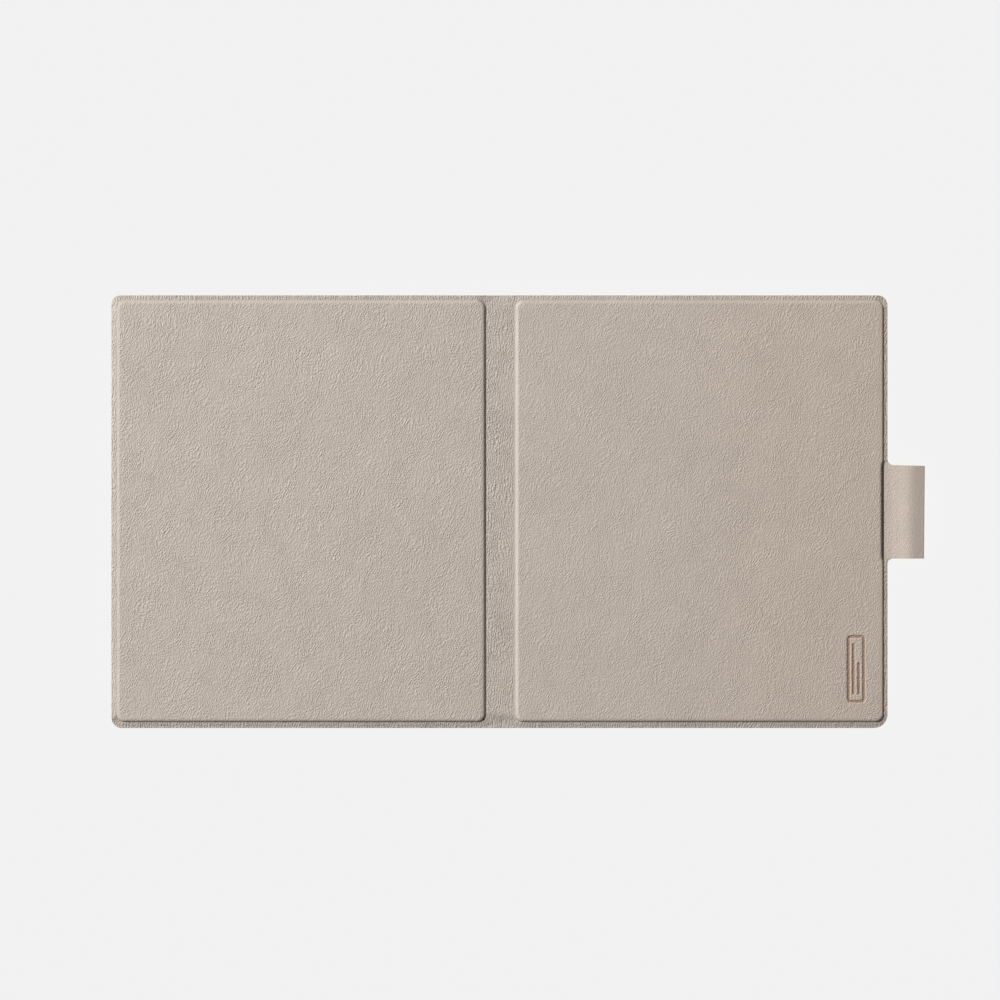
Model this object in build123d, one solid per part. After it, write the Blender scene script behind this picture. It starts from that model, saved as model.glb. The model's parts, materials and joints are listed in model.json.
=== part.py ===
from build123d import *
import os

# A seven-inch e-reader docked inside its leatherette folio. The folio lies open with its
# outer face up and the reader hangs under the back cover, screen down on the support plane.
# All sizes are in millimetres. +X runs from the back cover to the front cover, +Y runs to the
# top of the page, +Z is up. The origin is the middle of the whole object at its lowest level.

# Folio, in plan
PAD_W = 136.7            # raised panel, from the spine to the fore edge
PAD_H = 156.4
PAD_CORNER = 2.8
PAD_ROUND = 0.65         # soft upper edge of a raised panel
SPINE_GAP = 10.4         # flat strip between the two raised panels
FLANGE = 1.8             # flat border outside each raised panel
COVER_CORNER = 4.2
FOLD_HALF = 3.9          # from the middle of the spine to each fold axis
FOLD_GAP = 0.05          # running clearance between a fold's round edge and the cover

# Pen loop at the middle of the fore edge
LOOP_OUT = 13.6
LOOP_LENGTH = 34.7
LOOP_CREST_OUT = 9.1     # where the upper sheet is highest
LOOP_CREST = 1.35        # how far the crest stands above the border
LOOP_CREST_R = 3.0
LOOP_FOLD_DROP = 0.3     # from the crest down to the outer fold
LOOP_FOLD_R = 1.0
LOOP_BELLY_R = 3.9       # round bottom that the pen lies in
LOOP_HEM = 1.3           # end of the strip, bonded under the lining
LOOP_NOTCH = 2.3         # concave corner between the loop and the border

# Layers, from the support plane up
READER_T = 6.4
LINING_T = 0.5
SKIN_T = 0.7
BOARD_T = 0.7
STIFFENER_T = 0.3
MAGNET_T = 0.6

# Levels of those layers
LINING_Z = READER_T
SKIN_Z = LINING_Z + LINING_T
BORDER_Z = SKIN_Z + SKIN_T
BOARD_TOP_Z = SKIN_Z + BOARD_T
PAD_Z = BOARD_TOP_Z + SKIN_T
SPINE_R = (LINING_T + SKIN_T) / 2
AXIS_Z = LINING_Z + SPINE_R

# Folio, worked out
COVER_H = PAD_H + 2 * FLANGE
COVER_END = SPINE_GAP / 2 + PAD_W + FLANGE
COVER_START = FOLD_HALF + SPINE_R + FOLD_GAP
PAD_MID = SPINE_GAP / 2 + PAD_W / 2
SPINE_X = -LOOP_OUT / 2
BACK = -1
FRONT = 1

# Reader, in plan, about its own centre
READER_W = 137.0
READER_H = 156.0
READER_CORNER = 7.0
READER_INSET = 5.0       # from the middle of the spine to the reader's near edge
READER_X = SPINE_X - READER_INSET - READER_W / 2
ACTIVE_W = 107.0         # seven-inch 3:4 image
ACTIVE_H = 142.2
SCREEN_X = 8.5           # the image stands off centre and leaves a grip on the fore edge
MASK = 3.2               # printed border of the lens around the image
LEDGE = 1.5

# Reader, through its depth, from the screen side
FRAME_T = 1.2
LENS_Z = 0.1
LENS_T = 0.7
TOUCH_T = 0.2
GUIDE_T = 0.4
PANEL_T = 0.8
FOAM_T = 0.2
MID_T = 0.8
WALL = 1.2
BACK_WALL = 1.0
LIP_T = 1.0
LIP_DEPTH = 1.0
SLACK = 0.1

TOUCH_Z = LENS_Z + LENS_T
GUIDE_Z = TOUCH_Z + TOUCH_T
PANEL_Z = GUIDE_Z + GUIDE_T
FOAM_Z = PANEL_Z + PANEL_T
MID_Z = FOAM_Z + FOAM_T
MID_TOP = MID_Z + MID_T
BACK_INNER = READER_T - BACK_WALL
CAVITY_W = READER_W - 2 * WALL
CAVITY_H = READER_H - 2 * WALL
LENS_W = ACTIVE_W + 2 * MASK
LENS_H = ACTIVE_H + 2 * MASK
WINDOW_W = LENS_W - 2 * LEDGE
WINDOW_H = LENS_H - 2 * LEDGE

# Main board, in the grip
BOARD_Z = 3.2
PCB_T = 0.8
PCB_TOP = BOARD_Z + PCB_T
PCB_W = 19.2
PCB_X = -56.8
PCB_LOW_Y = -70.0
PCB_HIGH_Y = 68.8

# Keys
KEY_X = -57.0
KEY_Y = 17.0
KEY_W = 9.0
KEY_H = 26.0
KEY_SINK = 0.15          # the key's face lies this far under the frame's face
KEY_RIM = 1.0
KEY_TRAVEL = 0.4
POWER_X = -52.0
POWER_W = 12.0
POWER_T = 2.0
POWER_Z = 3.6
POWER_TRAVEL = 0.3

# Charging socket
SOCKET_W = 8.94
SOCKET_T = 3.16
SOCKET_DEPTH = 7.4
SOCKET_Z = 3.6
SOCKET_WALL = 0.3

# Fasteners
BOSS_R = 1.2
SCREW_R = 0.6
SCREW_HEAD_R = 1.1
SCREW_HEAD_T = 0.6
HOLE_R = 0.75
SCREW_BITE = 1.0
SEAT_GAP = 0.02          # between a screw's head and what it holds

# Magnets
DOCK_PLACES = [(x, y) for x in (-30.0, 56.0) for y in (-58.0, 58.0)]
CLOSURE_X = -64.2
CLOSURE_Y = 48.0
SENSOR_PLACE = (-50.0, 58.0)
WAKE_R = 3.0

# Debossed ornament on the front panel: a page with two lines of text
MARK_X = 131.8           # from the middle of the spine
MARK_Y = -58.2
MARK_LENGTH = 25.0
MARK_W = 6.6
MARK_STROKE = 0.8
MARK_CORNER = 1.4
MARK_LINES = [(-1.0, 19.0), (1.0, 12.0)]     # place across the page, and length
MARK_LINE_START = 3.0
MARK_DEPTH = 0.2


def plate(width, height, corner, low, high, x=0.0, y=0.0):
    """A flat plate with rounded corners between two levels, centred at x, y."""
    outline = RectangleRounded(width, height, corner)
    return Pos(x, y, low) * extrude(outline, amount=high - low)


def block(width, height, low, high, x=0.0, y=0.0):
    """A plain block between two levels, centred at x, y."""
    return Pos(x, y, (low + high) / 2) * Box(width, height, high - low)


def pin(radius, low, high, x=0.0, y=0.0):
    """An upright cylinder between two levels."""
    return Pos(x, y, (low + high) / 2) * Cylinder(radius, high - low)


def group(solids):
    """Separate solids that make one node."""
    return Compound([solid.solid() for solid in solids])


# ---------------------------------------------------------------- folio


def cover_sheet(side, low, high):
    """A sheet as large as one cover: square at the fold, rounded at the fore edge."""
    width = COVER_END - COVER_START
    outline = Rectangle(width, COVER_H)
    fore_corners = outline.vertices().group_by(Axis.X)[-1]
    outline = fillet(fore_corners, COVER_CORNER)
    sheet = Pos((COVER_START + COVER_END) / 2, 0, low) * extrude(outline, amount=high - low)
    if side == BACK:
        sheet = mirror(sheet, about=Plane.YZ)
    return Pos(SPINE_X, 0, 0) * sheet


def pad_x(side):
    return SPINE_X + side * PAD_MID


def board_plate(side, low, high):
    """The stiff board inside a raised panel."""
    width = PAD_W - 2 * SKIN_T
    height = PAD_H - 2 * SKIN_T
    return plate(width, height, PAD_CORNER - SKIN_T, low, high, pad_x(side))


def ornament():
    """The cutter for the ornament: the frame of a page and the text lines on it."""
    low = PAD_Z - MARK_DEPTH
    high = PAD_Z + 1.0
    page = RectangleRounded(MARK_W, MARK_LENGTH, MARK_CORNER)
    inner_w = MARK_W - 2 * MARK_STROKE
    inner_length = MARK_LENGTH - 2 * MARK_STROKE
    page -= RectangleRounded(inner_w, inner_length, MARK_CORNER - MARK_STROKE / 2)
    for x, length in MARK_LINES:
        start = MARK_LINE_START + length / 2 - MARK_LENGTH / 2
        page += Pos(x, start) * SlotOverall(length, MARK_STROKE, rotation=90)
    return Pos(SPINE_X + MARK_X, MARK_Y, low) * extrude(page, amount=high - low)


def cover_skin(side):
    """The outer leatherette of one cover, drawn over its board and down to the border."""
    pad = plate(PAD_W, PAD_H, PAD_CORNER, SKIN_Z, PAD_Z, pad_x(side))
    rim = pad.edges().group_by(Axis.Z)[-1]
    pad = fillet(rim, PAD_ROUND)
    skin = cover_sheet(side, SKIN_Z, BORDER_Z) + pad
    skin -= board_plate(side, SKIN_Z, BOARD_TOP_Z)
    if side == FRONT:
        skin -= ornament()
    return skin


def cover_board(side, magnets):
    """A board with a pocket on its inner side for each magnet."""
    board = board_plate(side, SKIN_Z, BOARD_TOP_Z)
    for magnet in magnets:
        board -= magnet
    return board


def dock_magnets(low, high):
    return [plate(12.0, 4.0, 0.5, low, high, READER_X + x, y) for x, y in DOCK_PLACES]


def front_magnets():
    """They meet the reader's closure magnets when the folio is shut."""
    x = 2 * SPINE_X - (READER_X + CLOSURE_X)
    return [plate(3.0, 14.0, 0.5, SKIN_Z, SKIN_Z + MAGNET_T, x, y) for y in (-CLOSURE_Y, CLOSURE_Y)]


def wake_magnet():
    """It meets the reader's sensor when the folio is shut."""
    x = 2 * SPINE_X - (READER_X + SENSOR_PLACE[0])
    return pin(WAKE_R, SKIN_Z, SKIN_Z + MAGNET_T, x, SENSOR_PLACE[1])


def spine_bar(low, high):
    """The part of the spine between two levels. Its long edges are round about the folds."""
    section = Plane.XZ * SlotOverall(2 * FOLD_HALF + 2 * SPINE_R, 2 * SPINE_R)
    bar = Pos(SPINE_X, COVER_H / 2, AXIS_Z) * extrude(section, amount=COVER_H)
    return bar & block(2 * COVER_START, COVER_H + 1, low, high, SPINE_X)


def spine_stiffener():
    return block(6.0, COVER_H - 8.0, SKIN_Z - STIFFENER_T, SKIN_Z, SPINE_X)


def loop_section():
    """The loop's outline across its length: x is outward from the border, y is the level."""
    root = Line((0.0, LINING_Z - SKIN_T), (0.0, BORDER_Z))
    belly = Pos(LOOP_OUT / 2, LOOP_BELLY_R) * Circle(LOOP_BELLY_R)
    crest = Pos(LOOP_CREST_OUT, BORDER_Z + LOOP_CREST - LOOP_CREST_R) * Circle(LOOP_CREST_R)
    fold_z = BORDER_Z + LOOP_CREST - LOOP_FOLD_DROP - LOOP_FOLD_R
    fold = Pos(LOOP_OUT - LOOP_FOLD_R, fold_z) * Circle(LOOP_FOLD_R)
    return make_hull([root.edge(), belly.edge(), crest.edge(), fold.edge()])


def pen_loop():
    """The tab of the front skin, folded under the border and bonded to the lining."""
    outer = loop_section()
    inner = offset(outer, amount=-SKIN_T)
    hem = Pos(-LOOP_HEM / 2, LINING_Z - SKIN_T / 2) * Rectangle(LOOP_HEM, SKIN_T)
    ring = extrude(Plane.XZ * (outer - inner + hem), amount=LOOP_LENGTH / 2, both=True)
    loop = Pos(SPINE_X + COVER_END, 0, 0) * ring
    edge_x = SPINE_X + COVER_END + LOOP_NOTCH / 2
    for end in (-1, 1):
        y = end * (LOOP_LENGTH + LOOP_NOTCH) / 2
        gusset = block(LOOP_NOTCH, LOOP_NOTCH, SKIN_Z, BORDER_Z, edge_x, y)
        scoop_x = edge_x + LOOP_NOTCH / 2
        scoop_y = y + end * LOOP_NOTCH / 2
        loop += gusset - pin(LOOP_NOTCH, SKIN_Z, BORDER_Z, scoop_x, scoop_y)
    return loop


def folio_parts():
    back_magnets = dock_magnets(SKIN_Z, SKIN_Z + MAGNET_T)
    closing = front_magnets()
    wake = wake_magnet()
    stiffener = spine_stiffener()
    return {
        "back_cover_skin": cover_skin(BACK),
        "back_cover_board": cover_board(BACK, back_magnets),
        "back_cover_lining": cover_sheet(BACK, LINING_Z, SKIN_Z),
        "back_cover_magnets": group(back_magnets),
        "spine_skin": spine_bar(SKIN_Z, BORDER_Z),
        "spine_stiffener": stiffener,
        "spine_lining": spine_bar(LINING_Z, SKIN_Z) - stiffener,
        "front_cover_skin": cover_skin(FRONT),
        "front_cover_board": cover_board(FRONT, closing + [wake]),
        "front_cover_lining": cover_sheet(FRONT, LINING_Z, SKIN_Z),
        "front_cover_magnets": group(closing),
        "wake_magnet": wake,
        "pen_loop": pen_loop(),
    }


# ---------------------------------------------------------------- reader, about its own centre


def frame_screw_places():
    """Screws that hold the mid frame, along the top and bottom edges."""
    y = (WINDOW_H + CAVITY_H) / 4 - 0.6
    return [(x, side * y) for x in (-40.0, 10.0, 60.0) for side in (-1, 1)]


def board_screw_places():
    """Screws that hold the main board, at its corners."""
    return [(x, y) for x in (-63.5, -50.0) for y in (-64.0, 64.0)]


def key_outline(margin):
    """A page key's outline, grown by a margin."""
    return RectangleRounded(KEY_W + 2 * margin, KEY_H + 2 * margin, 2.0 + margin)


def oval(width, thickness):
    """The outline of the charging socket, upright in the bottom edge."""
    return Plane.XZ * RectangleRounded(width, thickness, thickness / 2 - 0.05)


def socket_cut():
    hole = extrude(oval(SOCKET_W + 0.4, SOCKET_T + 0.4), amount=6.0)
    return Pos(KEY_X, -READER_H / 2 + 3.0, SOCKET_Z) * hole


def power_cut(margin):
    depth = 6.0
    hole = extrude(Plane.XZ * SlotOverall(POWER_W + 2 * margin, POWER_T + 2 * margin), amount=depth)
    return Pos(POWER_X, READER_H / 2 + depth / 2, POWER_Z) * hole


def rear_housing():
    """The tub that forms the back and the sides."""
    shell = plate(READER_W, READER_H, READER_CORNER, FRAME_T, READER_T)
    shell = fillet(shell.edges().group_by(Axis.Z)[-1], 1.4)
    cavity = plate(CAVITY_W, CAVITY_H, READER_CORNER - WALL, FRAME_T, BACK_INNER)
    return shell - cavity - socket_cut() - power_cut(SLACK)


def frame_lip():
    """A thin wall that locates the front frame inside the tub."""
    outer = plate(CAVITY_W - 2 * SLACK, CAVITY_H - 2 * SLACK, 5.7, FRAME_T, FRAME_T + LIP_DEPTH)
    inner_w = CAVITY_W - 2 * SLACK - 2 * LIP_T
    inner_h = CAVITY_H - 2 * SLACK - 2 * LIP_T
    lip = outer - plate(inner_w, inner_h, 4.7, FRAME_T, FRAME_T + LIP_DEPTH)
    return lip - block(SOCKET_W + 2.0, 8.0, FRAME_T, MID_TOP, KEY_X, -READER_H / 2)


def front_frame():
    """The bezel: a seat for the lens, a window for the image, openings for the keys."""
    frame = plate(READER_W, READER_H, READER_CORNER, 0.0, FRAME_T)
    frame = fillet(frame.edges().group_by(Axis.Z)[0], 0.4)
    frame += frame_lip()
    for x, y in frame_screw_places():
        frame += pin(BOSS_R, FRAME_T, MID_Z, x, y)
    for x, y in board_screw_places():
        frame += pin(BOSS_R + 0.3, FRAME_T, BOARD_Z, x, y)
    frame -= plate(LENS_W + 0.2, LENS_H + 0.2, 3.1, 0.0, TOUCH_Z, SCREEN_X)
    frame -= plate(WINDOW_W, WINDOW_H, 1.5, 0.0, FRAME_T, SCREEN_X)
    for y in (-KEY_Y, KEY_Y):
        frame -= Pos(KEY_X, y, 0) * extrude(key_outline(SLACK), amount=FRAME_T)
    for x, y in frame_screw_places():
        frame -= pin(SCREW_R + 0.02, MID_Z - SCREW_BITE, MID_Z, x, y)
    for x, y in board_screw_places():
        frame -= pin(SCREW_R + 0.02, BOARD_Z - SCREW_BITE, BOARD_Z, x, y)
    return frame


def screen_sheet(inset, low, high):
    """One sheet of the display stack, a little inside the window."""
    return plate(WINDOW_W - 2 * inset, WINDOW_H - 2 * inset, 1.2, low, high, SCREEN_X)


def light_guide():
    """The front-light sheet, short at the bottom, where the lamps shine in."""
    sheet = screen_sheet(0.4, GUIDE_Z, PANEL_Z)
    return sheet - block(WINDOW_W, 2 * LEDGE + 0.8, GUIDE_Z, PANEL_Z, SCREEN_X, -WINDOW_H / 2)


def led_strip():
    """A flexible strip with a row of front-light lamps, below the light guide."""
    y = -WINDOW_H / 2 + LEDGE / 2 + 0.4
    strip = block(ACTIVE_W, LEDGE, GUIDE_Z, GUIDE_Z + 0.1, SCREEN_X, y)
    lamp_count = 13
    pitch = ACTIVE_W / lamp_count
    for index in range(lamp_count):
        x = SCREEN_X + (index - (lamp_count - 1) / 2) * pitch
        strip += block(3.0, LEDGE - 0.4, GUIDE_Z + 0.1, PANEL_Z, x, y)
    return strip


def mid_frame():
    """The light metal plate behind the display, with a rim around the battery bay."""
    low_x = PCB_X + PCB_W / 2 + 0.6
    high_x = CAVITY_W / 2 - LIP_T - 4 * SLACK
    height = CAVITY_H - 2 * LIP_T - 8 * SLACK
    middle = (low_x + high_x) / 2
    frame = plate(high_x - low_x, height, 2.0, MID_Z, MID_TOP, middle)
    rim = plate(75.0, 101.0, 2.0, MID_TOP, MID_TOP + 0.8, 14.0, -6.0)
    rim -= plate(72.5, 98.5, 1.0, MID_TOP, MID_TOP + 0.8, 14.0, -6.0)
    rim -= block(10.0, 12.0, MID_TOP, MID_TOP + 0.8, 14.0 - 37.0, 30.0)
    frame += rim
    for x, y in frame_screw_places():
        frame -= pin(HOLE_R, MID_Z, MID_TOP, x, y)
    return frame


def battery():
    """A flat pouch cell with soft edges."""
    cell = plate(70.0, 96.0, 2.0, MID_TOP, BACK_INNER - 0.2, 14.0, -6.0)
    return fillet(cell.edges().group_by(Axis.Z)[-1], 0.6)


def battery_lead():
    """A flat lead from the cell to its plug on the main board."""
    level = PCB_TOP + 0.2
    strip = block(28.0, 6.0, level, level + 0.3, -35.0, 30.0)
    plug = block(4.0, 8.0, PCB_TOP, PCB_TOP + 1.0, -51.0, 30.0)
    return strip + plug


def main_board():
    height = PCB_HIGH_Y - PCB_LOW_Y
    middle = (PCB_HIGH_Y + PCB_LOW_Y) / 2
    board = plate(PCB_W, height, 1.0, BOARD_Z, PCB_TOP, PCB_X, middle)
    for x, y in board_screw_places():
        board -= pin(HOLE_R, BOARD_Z, PCB_TOP, x, y)
    return board


def shield_can(width, height, x, y):
    """A thin metal can, open towards the board."""
    can = plate(width, height, 0.8, PCB_TOP, PCB_TOP + 1.2, x, y)
    return can - plate(width - 0.4, height - 0.4, 0.6, PCB_TOP, PCB_TOP + 1.0, x, y)


def board_shields():
    return group([shield_can(16.0, 34.0, PCB_X, 0.0), shield_can(15.0, 20.0, PCB_X, -40.0)])


def display_ribbon():
    """The display's ribbon and its plug on the front of the main board."""
    edge_x = SCREEN_X - WINDOW_W / 2 + 0.2
    ribbon_low = PANEL_Z + 0.5
    ribbon = block(6.0, 24.0, ribbon_low, ribbon_low + 0.15, edge_x - 3.0, -48.0)
    plug = block(3.0, 26.0, ribbon_low + 0.15, BOARD_Z, edge_x - 4.5, -48.0)
    return ribbon + plug


def charging_socket():
    """A hollow metal sleeve with the contact tongue inside."""
    sleeve = extrude(oval(SOCKET_W, SOCKET_T), amount=SOCKET_DEPTH)
    hollow_w = SOCKET_W - 2 * SOCKET_WALL
    hollow_t = SOCKET_T - 2 * SOCKET_WALL
    hollow = extrude(oval(hollow_w, hollow_t), amount=SOCKET_DEPTH - 1.0)
    back_y = PCB_LOW_Y
    socket = Pos(0, back_y, 0) * sleeve - Pos(0, back_y - 1.0, 0) * hollow
    socket += block(6.7, SOCKET_DEPTH - 1.8, -0.35, 0.35, 0.0, back_y - SOCKET_DEPTH / 2 + 0.4)
    return Pos(KEY_X, 0, SOCKET_Z) * socket


def page_key(y):
    """A page key: a cap in the frame's opening, a retaining rim and a plunger."""
    cap = Pos(0, 0, KEY_SINK) * extrude(key_outline(0.0), amount=FRAME_T + SLACK - KEY_SINK)
    cap = fillet(cap.edges().group_by(Axis.Z)[0], 0.3)
    rim_z = FRAME_T + SLACK
    rim = Pos(0, 0, rim_z) * extrude(key_outline(KEY_RIM), amount=0.3)
    plunger = block(4.0, 4.0, rim_z + 0.3, rim_z + 0.8)
    return Pos(KEY_X, y, 0) * (cap + rim + plunger)


def page_switches():
    """Tact switches on the front of the main board, one under each page key."""
    top = FRAME_T + SLACK + 0.8 + KEY_TRAVEL + 0.05
    return group([block(5.0, 5.0, top, BOARD_Z, KEY_X, y) for y in (-KEY_Y, KEY_Y)])


def power_button():
    """A small sliding cap in the top edge, with a retaining rim inside the wall."""
    cap_depth = WALL
    cap = extrude(Plane.XZ * SlotOverall(POWER_W, POWER_T), amount=cap_depth)
    rim = extrude(Plane.XZ * SlotOverall(POWER_W + 1.4, POWER_T + 0.4), amount=0.6)
    outer_y = READER_H / 2 - KEY_SINK
    button = Pos(0, outer_y, 0) * cap + Pos(0, outer_y - cap_depth, 0) * rim
    return Pos(POWER_X, 0, POWER_Z) * button


def power_switch():
    """A side-acting switch on the end of the main board."""
    high_y = READER_H / 2 - KEY_SINK - WALL - 0.6 - POWER_TRAVEL - 0.05
    depth = high_y - PCB_HIGH_Y
    return block(4.7, depth, 2.8, 4.4, POWER_X, (high_y + PCB_HIGH_Y) / 2)


def hall_sensor():
    return block(2.0, 2.0, BOARD_Z - 0.7, BOARD_Z, *SENSOR_PLACE)


def antenna():
    """A film antenna on the inside of the back wall."""
    return plate(40.0, 6.0, 1.0, BACK_INNER - 0.2, BACK_INNER, -20.0, 70.0)


def closure_magnets():
    places = [(CLOSURE_X, -CLOSURE_Y), (CLOSURE_X, CLOSURE_Y)]
    return group([plate(3.0, 14.0, 0.5, FRAME_T, FRAME_T + 1.0, x, y) for x, y in places])


def reader_dock_magnets():
    low = BACK_INNER - 1.0
    return group([plate(12.0, 4.0, 0.5, low, BACK_INNER, x, y) for x, y in DOCK_PLACES])


def screw(x, y, seat):
    """A small pan-head screw whose head rests on the level called seat."""
    low = seat + SEAT_GAP
    high = low + SCREW_HEAD_T
    shank = pin(SCREW_R, low - PCB_T - SCREW_BITE + SLACK, low, x, y)
    head = pin(SCREW_HEAD_R, low, high, x, y)
    recess = pin(SCREW_R * 0.7, low + SCREW_HEAD_T / 2, high, x, y)
    return shank + head - recess


def reader_parts():
    return {
        "rear_housing": rear_housing(),
        "front_frame": front_frame(),
        "cover_lens": plate(LENS_W, LENS_H, 3.0, LENS_Z, TOUCH_Z, SCREEN_X),
        "touch_film": screen_sheet(0.2, TOUCH_Z, GUIDE_Z),
        "light_guide": light_guide(),
        "led_strip": led_strip(),
        "e_paper_panel": screen_sheet(0.2, PANEL_Z, FOAM_Z),
        "display_foam": screen_sheet(1.0, FOAM_Z, MID_Z),
        "display_ribbon": display_ribbon(),
        "mid_frame": mid_frame(),
        "mid_frame_screws": group([screw(x, y, MID_TOP) for x, y in frame_screw_places()]),
        "battery": battery(),
        "battery_lead": battery_lead(),
        "main_board": main_board(),
        "main_board_screws": group([screw(x, y, PCB_TOP) for x, y in board_screw_places()]),
        "board_shields": board_shields(),
        "hall_sensor": hall_sensor(),
        "page_switches": page_switches(),
        "power_switch": power_switch(),
        "charging_socket": charging_socket(),
        "antenna": antenna(),
        "dock_magnets": reader_dock_magnets(),
        "closure_magnets": closure_magnets(),
        "page_key_next": page_key(KEY_Y),
        "page_key_previous": page_key(-KEY_Y),
        "power_button": power_button(),
    }


def write_parts():
    os.makedirs("parts", exist_ok=True)
    for name, shape in folio_parts().items():
        export_step(shape, f"parts/{name}.step")
    for name, shape in reader_parts().items():
        export_step(Pos(READER_X, 0, 0) * shape, f"parts/{name}.step")


write_parts()
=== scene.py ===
import json
from math import cos, hypot, pi, radians, sin, sqrt, tan

import bmesh
import bpy
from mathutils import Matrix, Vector, noise
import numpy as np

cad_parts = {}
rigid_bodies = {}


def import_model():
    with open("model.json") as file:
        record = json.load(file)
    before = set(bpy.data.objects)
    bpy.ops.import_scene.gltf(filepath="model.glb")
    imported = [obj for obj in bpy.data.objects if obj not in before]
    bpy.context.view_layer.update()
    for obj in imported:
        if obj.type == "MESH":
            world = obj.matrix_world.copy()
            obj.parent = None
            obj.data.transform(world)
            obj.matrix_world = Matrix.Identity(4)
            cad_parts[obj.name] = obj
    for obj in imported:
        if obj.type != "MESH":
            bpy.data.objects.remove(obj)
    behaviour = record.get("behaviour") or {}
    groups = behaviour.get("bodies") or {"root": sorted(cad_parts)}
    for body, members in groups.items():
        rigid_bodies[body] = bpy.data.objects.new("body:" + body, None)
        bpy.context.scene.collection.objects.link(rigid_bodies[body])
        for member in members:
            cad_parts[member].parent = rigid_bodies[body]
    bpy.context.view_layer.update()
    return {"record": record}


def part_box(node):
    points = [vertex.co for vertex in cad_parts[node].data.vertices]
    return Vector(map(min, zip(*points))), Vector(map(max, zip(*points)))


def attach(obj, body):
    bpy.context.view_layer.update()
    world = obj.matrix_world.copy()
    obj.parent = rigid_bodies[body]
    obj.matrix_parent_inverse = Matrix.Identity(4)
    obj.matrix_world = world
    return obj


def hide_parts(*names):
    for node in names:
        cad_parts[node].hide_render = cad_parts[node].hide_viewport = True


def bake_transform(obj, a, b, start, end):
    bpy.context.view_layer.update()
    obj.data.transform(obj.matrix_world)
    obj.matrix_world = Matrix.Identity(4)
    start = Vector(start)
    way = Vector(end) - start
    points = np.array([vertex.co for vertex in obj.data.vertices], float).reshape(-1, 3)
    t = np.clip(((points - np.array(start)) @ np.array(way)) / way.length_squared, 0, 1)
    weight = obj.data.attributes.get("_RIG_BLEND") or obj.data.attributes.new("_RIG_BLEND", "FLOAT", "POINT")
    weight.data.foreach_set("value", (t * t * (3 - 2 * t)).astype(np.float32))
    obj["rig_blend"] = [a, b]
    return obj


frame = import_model()

# An e-reader docked under the back cover of its leatherette folio, which lies open with its
# outer face up. Lengths below are millimetres in the row's frame; meshes are made in metres.
MM = 0.001

# ---------------------------------------------------------------- places from the CAD model


def box_mm(node):
    low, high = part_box(node)
    return low / MM, high / MM


spine_low, spine_high = box_mm("spine_lining")
lining_low, lining_high = box_mm("front_cover_lining")
skin_low, skin_high = box_mm("front_cover_skin")
board_high = box_mm("front_cover_board")[1]

SPINE_X = (spine_low.x + spine_high.x) / 2
LINING_Z = lining_low.z
SKIN_Z = lining_high.z
BOARD_TOP_Z = board_high.z
PAD_Z = skin_high.z
BORDER_Z = box_mm("spine_skin")[1].z
COVER_TOP = skin_high.y + 0.12
SKIN_T = PAD_Z - BOARD_TOP_Z
FOLD = 3.9               # from the middle of the spine to each fold axis
FOLD_SOFT = 1.2          # the skin turns over this length on each side of a fold axis

# ---------------------------------------------------------------- the folio's own dimensions

BOARD_FOOT = 5.2         # from the middle of the spine to the foot of the board's bulge
PAD_FAR = 141.9          # to a raised panel's foot along the fore edge
BACK_END = 143.96        # to the cut edge of each cover
FRONT_END = 143.42
BACK_CORNERS = (3.3, 3.8)            # radii of the fore-edge corners, top and bottom
FRONT_CORNERS = (3.7, 5.0)
PAD_CORNER = 2.9
SHOULDER_SHARE = 0.6     # a shoulder's corner radius against its foot's
PAD_TOP = 78.3           # the panels sit a little high on the sheet
PAD_BOTTOM = -77.9
EDGE_ROUND = 0.14        # outer edge of the sheet
EDGE_LIP = 0.04          # height of the cut edge's lower bevel
FOOT_FLAT = 0.25         # the border starts to slope off this far from a panel's foot
SEAM_SHADE_W = 0.3             # the painted shade along a foot fades over this width of border
EDGE_MIN = 0.27          # least thickness of the sheet at its edge
ROLL_STEPS = 8
FLANGE_STEPS = 14
EDGE_STEPS = 4
CORNER_STEPS = 5
CELLS_OUT = 200          # cells across a panel, from the spine to the fore edge
CELLS_UP = 228
PANEL_GRAIN = (1.0, 0.8)             # strength of the grain on the back and front covers
SPINE_GRAIN = 1.3                    # and on the spine against the covers

# Pen loop, from the edge of the front cover outward
LOOP_EDGE = 143.3        # the loop's own lengths count from here
LOOP_REACH = 13.6
LOOP_HALF = 17.3
LOOP_NOTCH = 2.4         # concave corner between the loop and the border
LOOP_ROOT = -1.12        # the loop's sheet starts here, beside the panel
LOOP_LEAN = 0.15         # the fold runs slightly out towards the top
LOOP_TAPER = 0.35        # the top edge drops towards the fold
LOOP_SKIRT = 7           # slope in degrees of the border beside the loop's root
LOOP_FOOT = 1.6          # the panel's foot and shoulder stand this far from the edge beside the loop
LOOP_SHOULDER = 3.15
LOOP_HEIGHTS = [         # (outward, above the border) of the upper sheet
    (LOOP_ROOT, -0.02), (0.0, 0.03), (1.6, 0.19), (3.1, 0.44), (4.6, 0.71), (6.3, 1.06),
    (7.5, 1.26), (8.3, 1.33), (9.1, 1.35), (9.9, 1.32), (11.3, 1.2), (12.6, 1.06), (13.52, 0.95),
]
LOOP_UNDER = [           # (outward, level) of the fold and the hanging lower sheet
    (13.65, 8.3), (13.5, 7.9), (13.1, 7.2), (12.3, 6.0), (11.2, 4.1), (9.9, 1.7),
    (8.4, 0.4), (6.6, 0.06), (4.8, 0.6), (3.2, 2.2), (1.7, 4.2), (0.6, 5.4), (-0.1, 5.7), (-0.75, 5.75),
]

# Ornament debossed in the front cover: a page with two lines of text
MARK_X = 131.8
MARK_Y = -58.2
MARK_W = 6.6
MARK_LENGTH = 25.0
MARK_CORNER = 1.4
MARK_STROKE = 1.0
MARK_DEPTH = 0.2
MARK_SOFT = 0.14
MARK_LINES = [(-1.0, 19.0), (1.0, 12.0)]
MARK_LINE_START = 3.0

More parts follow.
